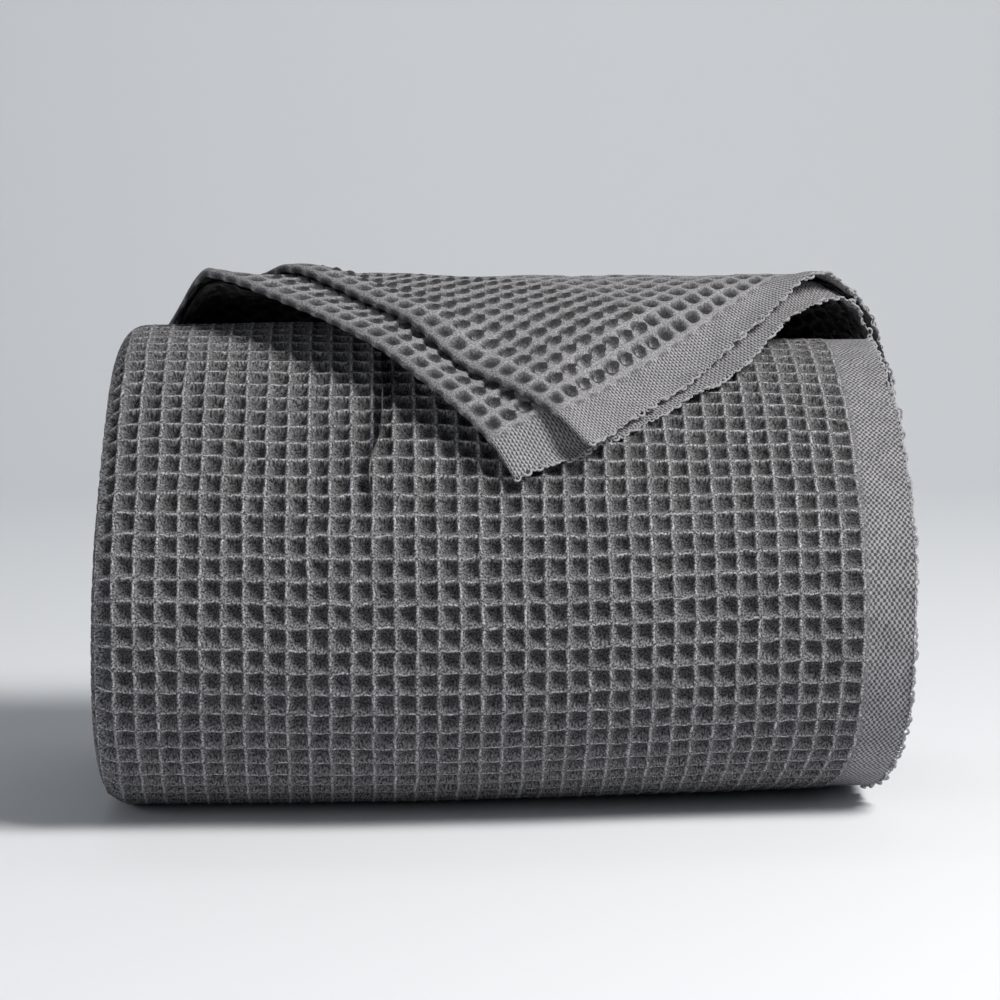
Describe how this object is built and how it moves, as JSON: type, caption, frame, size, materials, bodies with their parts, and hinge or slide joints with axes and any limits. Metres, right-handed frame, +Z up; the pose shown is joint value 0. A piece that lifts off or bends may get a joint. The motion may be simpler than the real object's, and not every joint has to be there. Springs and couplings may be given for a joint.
{
  "type": "waffle weave cotton blanket",
  "caption": "Charcoal waffle weave cotton blanket, folded to a strip and rolled, with a doubled corner laid over the front.",
  "frame": {"origin": "middle of the footprint, on the surface that the blanket lies on", "axes": "+X along the roll, from its folded end to its selvedges; -Y is the front, over which the corner hangs; +Z is up"},
  "size_m": [0.4174, 0.3, 0.267],
  "materials": {
    "cotton": "charcoal waffle weave cotton, matt, with a plain woven selvedge"
  },
  "bodies": {
    "root": {"blanket": "cotton"}
  },
  "joints": []
}
